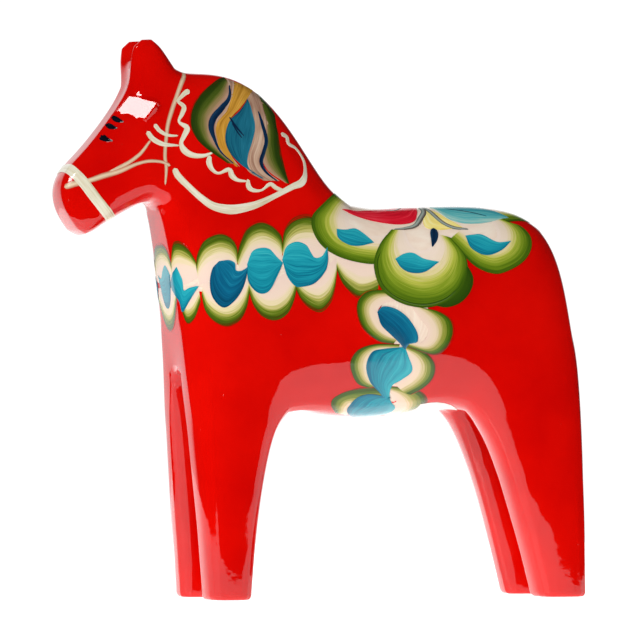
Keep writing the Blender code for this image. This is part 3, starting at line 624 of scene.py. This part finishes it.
saddle = {
    "ground": [[(2, 97), (8, 94), (16, 91), (24, 90), (33, 92), (42, 94), (50, 98)],
               [(4, -9, 105), (14, -9, 103), (30, -9, 103), (42, -9, 103), (50, -8, 102)],
               [(5, 0, 107), (14, 0, 104.5), (30, 0, 104.5), (42, 0, 104.5), (52, 0, 103)],
               [(4, 9, 105), (14, 9, 103), (30, 9, 103), (42, 9, 103), (50, 8, 102)],
               [(2, 16.5, 97), (8, 17.6, 94), (16, 18.5, 91), (24, 18.7, 90), (33, 18.4, 92),
                (42, 17.6, 94), (50, 14.5, 98)]],
    "rearLobe": [[(45, -7, 103.5), (51, -3, 103), (52, 0, 103), (51, 3, 103), (45, 7, 103.5)],
                 [(50, -13, 100.5), (57, -8, 99.8), (60, 0, 99.5), (57, 8, 99.8), (50, 13, 100.5)]],
    "frontPetal": [[(8, -7, 104.5), (5, -12, 102), (5.4, 97.9), (9, 96.4), (14, 96.4), (18, 96.6)],
                   [(4, -4, 107.5), (0, -11, 106), (-2.6, -14, 104.4), (-5.6, 101.5), (-5.9, 97.8),
                    (-3.8, 93.8), (-0.1, 91.2), (4.5, 89.6), (10.6, 88.8), (16, 90)]],
    "rearPetal": [[(44, -10, 102.5), (46, 98.5), (45.5, 96), (43, 95.5), (40, 97), (36.7, 98.6)],
                  [(47, -9, 103), (50.5, -12.9, 100.7), (53.8, 99.2), (55.9, 96.4), (55.4, 92.9),
                   (52.7, 89.6), (48.2, 87.2), (44.4, 86.4), (39.7, 87.9), (35.9, 91.1), (32.1, 95.4)]],
    "backLobe": [[(32.5, 89), (32.5, 85), (30, 82), (27, 80)],
                 [(36.3, 89.3), (38.2, 85.3), (37.2, 81.5), (34.3, 78.6), (30.4, 77.4), (27, 78)]],
    "middlePetal": [[(20, 98), (21, 94.5), (23.5, 92.5), (26.5, 93.5), (28.5, 97)],
                    [(16.6, 98), (12.7, 94.2), (10.6, 89.4), (11.2, 84.6), (13.6, 80.9), (18.3, 78.3),
                     (24.2, 77.3), (30.1, 78.6), (34.4, 82), (36.5, 86.8), (36.2, 91.1), (32.5, 96)]],
    "rimLine": [(12.9, 92.5, 0.2), (11.5, 89.4, 0.35), (12, 84.9, 0.35), (14.3, 81.5, 0.35),
                (18.7, 79, 0.35), (24.2, 78.1, 0.35), (29.8, 79.4, 0.3), (33.8, 82.5, 0.2)],
    "frontAlmond": [[(0.9, 98.1), (1.1, 95.7), (3.8, 93.9), (7.1, 93.6), (11.1, 94.5)],
                    [(0.9, 98.1), (3.4, 97.9), (6.3, 98.2), (8.6, 96.8), (11.1, 94.5)]],
    "middleAlmond": [[(16.5, 90.2), (18.1, 87.8), (20.8, 86.5), (24.7, 86.8), (28.8, 89.5)],
                     [(16.5, 90.2), (19.1, 91.6), (21.7, 91.8), (24.6, 90.3), (28.8, 89.5)]],
    "rearAlmond": [[(36.8, 96.5), (37.8, 93.5), (40.5, 91.7), (43.3, 91.4), (46.9, 92.8), (49.8, 95.2)],
                   [(36.8, 96.5), (39.1, 96.8), (41.6, 96.8), (45.7, 94.9), (49.8, 95.2)]],
    "crimsonLeaf": [[(3.4, -12.7, 103.3), (8.6, 101.2), (14, 99.9), (19.4, 99.4), (23.5, 100.2),
                     (25.3, -10.7, 102.2), (27.1, -5, 103.9)],
                    [(3.4, -12.7, 103.3), (11.3, -9, 103.2), (18.1, -5, 103.6), (23.2, -2.5, 103.9),
                     (27.1, -5, 103.9)]],
    "yellowLeaf": [[(28.1, -6, 103.8), (26.2, -13, 100.6), (26.4, 98.6), (30, 98), (35.4, 98.6)],
                   [(28.3, -5, 103.9), (31, -10, 102.6), (33, 101), (35, 99.8), (36.5, 98.7)]],
    "tealLeaf": [[(30.8, -5, 103.9), (32.7, 101.6), (36.2, 100), (41, 99.8), (45.5, 100.4),
                  (51, -11, 101.4)],
                 [(30.8, -5, 103.9), (37.3, -5.5, 104), (44.1, -6, 103.9), (47.7, -8, 103.2),
                  (51, -11, 101.4)]],
    "tealVein": [(34.1, -8, 103.6, 0.25), (39.1, -10, 103.1, 0.45), (44.6, -12, 101.7, 0.2)],
    "greyLines": [[(28, -5, 103.9, 0.9), (27.6, -9.5, 103, 1.2), (26, 101.3, 1.3), (23.5, 99.1, 1.0),
                   (20.5, 98.3, 0.7), (17.3, 98, 0.3)],
                  [(28.8, -5, 103.9, 0.9), (29.3, -9.5, 102.8, 1.1), (30.2, 101.2, 1.1),
                   (31.6, 99.7, 1.0), (34.1, 98.6, 0.8), (38, 98.2, 0.3)],
                  [(17.5, -7.5, 103, 0.2), (20.5, -7, 103.3, 0.6), (23, -4, 103.8, 0.4)]],
    "navyDrop": [(28.3, 98.4, 1.2), (28.2, 97, 1.9), (27.9, 95.4, 1.5), (27.1, 93.4, 0.2)],
}

strokes = [sweptStroke(groundCream, 0.1, saddle["ground"], crownHeight=0),
           sweptStroke(petalGreen, 0.14, saddle["rearLobe"])]
for side in (1, -1):
    strokes += [
        sweptStroke(petalGreen, 0.17, saddle["frontPetal"], side),
        sweptStroke(petalGreen, 0.18, saddle["rearPetal"], side),
        sweptStroke(darkGreen, 0.13, saddle["backLobe"], side),
        sweptStroke(petalGreen, 0.24, saddle["middlePetal"], side),
        lineStroke(darkGreen, 0.26, saddle["rimLine"], side, crownHeight=0.04),
        sweptStroke(tealBlue, 0.26, saddle["frontAlmond"], side, crownHeight=0.1),
        sweptStroke(tealBlue, 0.32, saddle["middleAlmond"], side, crownHeight=0.1),
        sweptStroke(tealBlue, 0.27, saddle["rearAlmond"], side, crownHeight=0.1),
        sweptStroke(crimson, 0.25, saddle["crimsonLeaf"], side),
        sweptStroke(paleYellow, 0.22, saddle["yellowLeaf"], side),
        sweptStroke(paleTeal, 0.25, saddle["tealLeaf"], side),
        lineStroke(navyBlue, 0.3, saddle["tealVein"], side, crownHeight=0.05),
        lineStroke(navyBlue, 0.34, saddle["navyDrop"], side)]
    strokes += [lineStroke(greyLine, 0.31, line, side, crownHeight=0.08) for line in saddle["greyLines"]]
joinStrokes("saddle", strokes, "green_oil_paint", "saddle")

girth = {
    "ground": [[(13, 80), (12, 74), (16, 68), (11, 63), (12, 57), (9, 53), (9, -6, 48.6)],
               [(25, 78), (26.5, 73), (24.5, 69), (22, 65.5), (21, 61), (18.5, 56), (18.5, 53),
                (18, -5, 48.8)]],
    "lobes": [
        ([(17, -12, 50.2), (11, -12, 50.3), (7.5, 51), (6, -9, 49)],
         [(14.1, 56.5), (6.9, 56), (1.6, 54.4), (-0.6, 52), (2.4, -11, 49.3)]),
        ([(15.5, 54.9), (17.5, 52.8), (18, -12, 50.4), (17.5, -4, 48.6)],
         [(15.2, 56.5), (21, 56), (25.3, 54.4), (27.1, 52.2), (26.3, -8.7, 50.3), (22, -4, 49.4)]),
        ([(17, 66), (12, 65.5), (9.9, 62.9), (10.9, 59.1), (13.8, 57)],
         [(17.5, 67.6), (10.6, 67.6), (5.9, 66), (3.8, 62.8), (4.5, 59.4), (6.3, 57), (9.1, 56)]),
        ([(18.1, 66), (20.5, 62.9), (20.1, 59.7), (16.6, 57)],
         [(19.8, 67.1), (24.6, 65.5), (27.5, 62.6), (27.5, 58.9), (25, 56), (20.8, 53.8)]),
        ([(17.5, 79.3), (13.3, 78.5), (11.3, 76.1), (13.3, 72.4), (17.5, 69.8)],
         [(13.7, 82), (8.7, 81.7), (5.8, 79.3), (5.5, 75.6), (7.2, 71.6), (11.4, 68.4), (15.6, 67.6)]),
        ([(20.3, 78), (23, 74.5), (25.3, 71.4), (23.7, 68.2), (19.8, 68.7)],
         [(24.2, 77.2), (28.6, 76.2), (32, 74), (32.6, 70.3), (30.7, 66.6), (27.4, 64.7), (21.8, 66.1),
          (18.1, 67.5)])],
    "blues": [
        (deepBlue, [(11.1, 76.1), (12.2, 72.7), (15, 70), (18, 67.2), (18.3, 65.8)],
         [(11.1, 76.1), (12.8, 77.6), (16.4, 76.9), (19.7, 74.5), (22.2, 70.8), (22.3, 68.2), (20, 67.6),
          (19, 66)]),
        (tealBlue, [(17.8, 66.8), (13.4, 66.4), (9.8, 65.5), (8.3, 61.8), (9.6, 57.6), (12.7, 54.6),
                    (14.6, 52)],
         [(18.8, 67), (19.8, 64.7), (21.2, 60.7), (18.4, 58.2), (16, 56.8), (15.4, 54.4), (16.2, 52)]),
        (tealBlue, [(16, 53.4), (9.9, 54.4), (5.9, 53), (4.6, -14, 50.4), (8.6, -6, 48.2)],
         [(15, 53.6), (18.3, -13.4, 50.6), (17, -8, 49.4), (13, -5, 48.6), (8.6, -6, 48.2)])],
}
for sideName, nodeEnd, side in bothSides:
    strokes = [sweptStroke(groundCream, 0.03, girth["ground"], side, crownHeight=0)]
    for number, (heart, rim) in enumerate(girth["lobes"]):
        strokes.append(sweptStroke(girthGreen, 0.07 + 0.02 * number, [heart, rim], side))
    for paint, low, high in girth["blues"]:
        strokes.append(sweptStroke(paint, 0.24, [low, high], side, crownHeight=0.1))
    joinStrokes("girth" + sideName, strokes, "green_oil_paint", "girth" + nodeEnd)

maneFlower = {
    "swept": [
        (flowerGreen, 0.08, [(-26.1, 136.6), (-27.3, 132.8), (-30.6, 129), (-32.3, 126.3), (-31.8, 121.5),
                             (-29.4, 118.4), (-26.6, 115.2)],
         [(-26.5, -4, 138.7), (-31.2, 136.5), (-35.2, 133), (-37.3, 129.5), (-37.8, 125.7), (-36.3, 122),
          (-33.6, 119.1), (-28.4, 115.4)]),
        (flowerGreen, 0.08, [(-20.6, 134), (-19.4, 128.3), (-18.2, 123.8), (-19, 118.4), (-17.4, 113.7),
                             (-12.6, 110.3)],
         [(-17, -4, 134.3), (-14.1, 129.9), (-13.7, 124.9), (-13.2, 118.5), (-12.3, 113.5), (-11.4, 110)]),
        (tanPaint, 0.1, [(-26.1, 138.2), (-26.9, 134.4), (-28.9, 130.6), (-31.8, 127.4), (-32.1, 122.9),
                         (-29.6, 118.4), (-25, 114.4)],
         [(-23.6, 137), (-25.4, 132.6), (-27, 129.4), (-29.6, 126.2), (-29.6, 121.6), (-28, 118.4),
          (-25, 114.4)]),
        (tanPaint, 0.1, [(-21.8, -6.5, 135.6), (-21.4, 131), (-21.4, 126.5), (-22.2, 121.6),
                         (-23.6, 117.2), (-22.8, 113.4), (-18.6, 110.8)],
         [(-17.2, -5, 134.2), (-16.2, 129.3), (-15.9, 124.9), (-17.1, 120.3), (-18.8, 116.3),
          (-17.3, 113.1), (-14.2, 110.8)]),
        (ochre, 0.13, [(-24.2, 137.2), (-26.8, 132.3), (-28, 129), (-31.2, 125.3), (-30.9, 121),
                       (-29.1, 117.8), (-26.2, 114.6)],
         [(-18.6, -4.6, 135.2), (-21.5, 132.8), (-23.9, 130.2), (-26.9, 127), (-27.8, 122.5),
          (-27.6, 118.6), (-25.6, 114.4)]),
        (flowerBlue, 0.18, [(-21.6, 132.6), (-24, 129.6), (-27.3, 126.4), (-28.6, 122.1), (-27.7, 118.4),
                            (-24.9, 115.2), (-21.8, 113.1), (-18.8, 111.3)],
         [(-21.6, 132.6), (-20.7, 129.1), (-20.2, 125.1), (-21.3, 121.1), (-22.6, 117.6), (-22.8, 114.7),
          (-21.2, 112.6), (-18.8, 111.3)])],
    "lines": [
        (navyBlue, 0.17, [(-26.1, 136.3, 0.3), (-26.8, 132.8, 0.8), (-29, 130.1, 1.3),
                          (-31.4, 127.4, 1.5), (-32.2, 124.8, 1.3), (-31.4, 121.5, 0.7),
                          (-29.9, 118.3, 0.4), (-26.6, 115.2, 0.25)]),
        (navyBlue, 0.17, [(-19, 129.4, 0.3), (-18.1, 125.9, 0.8), (-17.3, 121.7, 0.9),
                          (-18.2, 118.5, 0.9), (-19.1, 115.8, 0.9), (-17.9, 113.1, 0.6),
                          (-14.8, 110.6, 0.25)]),
        (navyBlue, 0.27, [(-27.2, 127.7, 0.3), (-25.7, 125.3, 0.5), (-23.4, 122.5, 0.2)]),
        (navyBlue, 0.27, [(-26.6, 126, 0.2), (-25.2, 123.6, 0.3), (-24, 122, 0.2)])],
}
maneScroll = [[(-41, 131.8, 0.6), (-39.2, 130.3, 1.1), (-39.8, 128.4, 1.0), (-40.7, 126.3, 0.6),
               (-38.6, 124.7, 1.3), (-39.5, 122.5, 1.1), (-40.3, 120.7, 0.9), (-39.6, 118.8, 1.5),
               (-37.6, 117.5, 1.3), (-34.7, 117.3, 0.9), (-32, 118.2, 0.4)],
              [(-32.9, 117.4, 0.9), (-33.2, 115.4, 1.3), (-32.3, 113.5, 0.9), (-30.7, 112.7, 0.6),
               (-28, 113.7, 1.0), (-27.2, 112, 1.3), (-25.7, 110.9, 0.8), (-23.3, 110.6, 0.4)],
              [(-23, 111.2, 0.7), (-22.8, 109.1, 1.2), (-21.5, 108.2, 0.9), (-19.3, 108.3, 0.5),
               (-16.9, 109.9, 0.9), (-15.3, 108.9, 1.0), (-13.1, 108.3, 0.6), (-10.8, 108.7, 0.5),
               (-8.2, 109.7, 0.3)]]
maneCurve = [(-42.4, 114, 1.3), (-41.4, 111.9, 1.5), (-38.7, 109, 1.4), (-36, 106.4, 1.5),
             (-32.7, 104, 1.8), (-28.5, 103.1, 2.2), (-24.7, 103.5, 2.0), (-20.6, 104.6, 1.6),
             (-15.7, 106.8, 1.2), (-10.8, 109.2, 1.4), (-7.8, 110.5, 1.7), (-6.4, 113.3, 1.0),
             (-6.4, 116.5, 0.8), (-8.3, 119.5, 0.7), (-10.6, 120.8, 1.0), (-10.9, 122.6, 1.0),
             (-12.7, 123.5, 1.2)]
throatLash = [[(-38, -4.5, 139.4, 0.9), (-38.6, 138.2, 1.1), (-39.4, 136.9, 1.1), (-41, 133.2, 1.0),
               (-42.5, 129.4, 1.1), (-43.7, 125.7, 1.0), (-44.4, 121.4, 0.9), (-44.8, 117.2, 0.9),
               (-44.5, 114, 0.8), (-44.8, 109.6, 0.4)],
              [(-37.4, 134.6, 1.3), (-38.8, 133.9, 1.1), (-41.2, 131.6, 0.5)],
              [(-47.4, 125.6, 1.0), (-46, 123.8, 0.9), (-43.8, 122.7, 0.7), (-41, 122.6, 0.3)],
              [(-49.4, 123.7, 1.1), (-48, 121.7, 1.2), (-45.2, 120.3, 1.0), (-40.8, 120, 0.3)]]
cheekStrap = [(-70.6, -5.5, 108.8, 1.2), (-68.6, 109.7, 1.5), (-65, 110.5, 1.2), (-61.2, 111.8, 1.4),
              (-56.9, 113.1, 1.2), (-52.2, 115.1, 0.8), (-49, 115.8, 0.8), (-45.6, 115.6, 0.7),
              (-43.4, 114.6, 0.9)]
cheekBranch = [(-61.4, 111.9, 0.4), (-57.3, 113.9, 0.9), (-54.2, 115.6, 0.9), (-51.3, 117.9, 0.8),
               (-48.6, 121.3, 0.5)]
nosebandHalf = [(-57, -1, 100.8), (-58.2, -4.6, 101.2), (-61.2, -9.2, 103.4), (-63.8, -8.6, 106.8),
                (-66.1, -7.8, 110), (-68.3, -6.5, 112.6), (-69.4, -3, 114)]
eyeDabs = [[(-57.7, 128.4, 0.15), (-57.2, 127.7, 0.8), (-56.6, 127, 1.25), (-55.8, 126.5, 0.9),
            (-54.9, 126.2, 0.15)],
           [(-59.3, 126.3, 0.15), (-58.8, 125.7, 0.8), (-58.2, 125.1, 1.3), (-57.4, 124.7, 0.9),
            (-56.5, 124.6, 0.15)],
           [(-61.9, 123.9, 0.15), (-61.3, 123.1, 0.9), (-60.4, 122.2, 1.6), (-59.4, 121.5, 1.1),
            (-58, 121.1, 0.15)]]

for sideName, nodeEnd, side in bothSides:
    strokes = [sweptStroke(paint, height, [low, high], side)
               for paint, height, low, high in maneFlower["swept"]]
    strokes += [lineStroke(paint, height, points, side, crownHeight=0.06)
                for paint, height, points in maneFlower["lines"]]
    joinStrokes("maneFlower" + sideName, strokes, "green_oil_paint", "mane_flower" + nodeEnd)
    strokes = [lineStroke(lineCream, 0.08, points, side) for points in maneScroll]
    joinStrokes("maneScroll" + sideName, strokes, "cream_oil_paint", "mane_scroll" + nodeEnd)
    strokes = [lineStroke(lineCream, 0.09, maneCurve, side)]
    joinStrokes("maneCurve" + sideName, strokes, "cream_oil_paint", "mane_curve" + nodeEnd)
    strokes = [lineStroke(lineCream if n else thinCream, 0.06 + 0.03 * n, points, side)
               for n, points in enumerate(throatLash)]
    joinStrokes("throatLash" + sideName, strokes, "cream_oil_paint", "throat_lash" + nodeEnd)
    strokes = [lineStroke(thinCream, 0.09, cheekStrap, side)]
    joinStrokes("cheekStrap" + sideName, strokes, "cream_oil_paint", "cheek_strap" + nodeEnd)
    strokes = [lineStroke(thinCream, 0.06, cheekBranch, side)]
    joinStrokes("cheekBranch" + sideName, strokes, "cream_oil_paint", "cheek_branch" + nodeEnd)
    for number, points in enumerate(eyeDabs, 1):
        dab = lineStroke(eyeBlack, 0.04, points, side, crownHeight=0)
        joinStrokes(f"eyeDab{number}{sideName}", [dab], "black_oil_paint", f"eye_dab_{number}{nodeEnd}")

nosebandWidth = 2.45
ring = [p + (nosebandWidth,) for p in nosebandHalf]
ring += [(x, -y, z, w) for x, y, z, w in reversed(ring)]
joinStrokes("noseband", [lineStroke(lineCream, 0.14, ring)], "cream_oil_paint", "noseband")

# an oval of paper across the belly, its edge given as a left and a right half
label = {"length": 20.4, "width": 30, "middle": 28.6, "height": 49, "thickness": 0.12}
half = 48
edge = [(label["middle"] + label["length"] / 2 * math.cos(a), label["width"] / 2 * math.sin(a))
        for a in np.linspace(0, 2 * math.pi, 2 * half + 1)[:-1]]
low = [(x, -abs(y), label["height"]) for x, y in edge[half:] + edge[:1]]
high = [(x, abs(y), label["height"]) for x, y in reversed(edge[:half + 1])]
paperLabel = sweptStroke(labelPaper, label["thickness"], [low, high], crownHeight=0)
joinStrokes("paperLabel", [paperLabel], "white_paper", "paper_label")
bpy.data.objects.remove(skin)
print("paint laid")

# places and sizes in metres, powers in watts
studio = {
    "floorAlong": (-0.205, 0.45), "floorAcross": (-0.31, 0.55), "floorGlow": 1.0, "aim": (0, 0, 0.07),
    "window": {"place": (-1.0, -0.8, 0.74), "size": (1.1, 0.62), "power": 14.5},
    "glint": {"place": (-1.02, -0.71, 0.82), "size": (0.5, 0.35), "power": 11},
    "above": {"place": (0.1, 0.0, 1.5), "size": (2.0, 1.6), "power": 4},
    "seenGlow": 1.1, "fillGlow": 0.3, "frontGlow": 0.015, "backGlow": 1.1}


def makeLightTable():
    # a white light table, faintly glossy, that glows softly from below
    material, tree, shader = newMaterial("whiteLightTable", {
        "Roughness": 0.3, "Specular IOR Level": 0.5, "Emission Color": (1, 1, 1, 1),
        "Emission Strength": studio["floorGlow"]})
    place = addNode(tree, "ShaderNodeTexCoord").outputs["Object"]
    grain = addNode(tree, "ShaderNodeTexNoise", {"Scale": 30.0, "Detail": 3.0}, {"Vector": place})
    ramp = addNode(tree, "ShaderNodeValToRGB", None, {"Fac": grain.outputs["Fac"]})
    tree.links.new(fillRamp(ramp, [(0.3, "#F2F1EE"), (0.7, "#F7F6F4")]), shader.inputs["Base Color"])
    return material


def addSoftbox(name, softbox):
    bpy.ops.object.light_add(type="AREA", location=softbox["place"])
    light = bpy.context.object
    light.name = name
    light.data.shape = "RECTANGLE"
    light.data.size, light.data.size_y = softbox["size"]
    light.data.energy = softbox["power"]
    outwards = Vector(softbox["place"]) - Vector(studio["aim"])
    light.rotation_euler = outwards.to_track_quat("Z", "Y").to_euler()
    return light


bpy.ops.object.select_all(action="DESELECT")
bpy.ops.mesh.primitive_plane_add(size=1)
floor = bpy.context.object
floor.name = "floor"
for corner in floor.data.vertices:
    corner.co.x = studio["floorAlong"][corner.co.x > 0]
    corner.co.y = studio["floorAcross"][corner.co.y > 0]
floor.data.materials.append(makeLightTable())

window = addSoftbox("windowSoftbox", studio["window"])
glint = addSoftbox("windowGlint", studio["glint"])
above = addSoftbox("topSoftbox", studio["above"])
window.visible_glossy = above.visible_glossy = False  # of the lights, varnish mirrors only the glint
glint.visible_diffuse = False

world = bpy.data.worlds.new("studioAir")
bpy.context.scene.world = world
world.use_nodes = True
tree = world.node_tree
tree.nodes.clear()
rays = addNode(tree, "ShaderNodeLightPath")
seen = addNode(tree, "ShaderNodeBackground", {"Color": (1, 1, 1, 1), "Strength": studio["seenGlow"]})
fill = addNode(tree, "ShaderNodeBackground", {"Color": (0.9, 0.95, 1, 1), "Strength": studio["fillGlow"]})
# the room that the lacquer mirrors: dark in front, a lit white sweep behind
direction = addNode(tree, "ShaderNodeTexCoord").outputs["Generated"]
depth = addNode(tree, "ShaderNodeSeparateXYZ", None, {"Vector": direction}).outputs["Y"]
sweep = addNode(tree, "ShaderNodeMapRange",
                {"From Min": 0.8, "From Max": 0.9,
                 "To Min": studio["frontGlow"], "To Max": studio["backGlow"]}, {"Value": depth})
mirrored = addNode(tree, "ShaderNodeBackground", {"Color": (1, 1, 1, 1)},
                   {"Strength": sweep.outputs["Result"]})
dim = addNode(tree, "ShaderNodeMixShader", None,
              {"Fac": rays.outputs["Is Glossy Ray"], 1: fill.outputs[0], 2: mirrored.outputs[0]})
mix = addNode(tree, "ShaderNodeMixShader", None,
              {"Fac": rays.outputs["Is Camera Ray"], 1: dim.outputs[0], 2: seen.outputs[0]})
addNode(tree, "ShaderNodeOutputWorld", None, {"Surface": mix.outputs[0]})
print("studio lit")
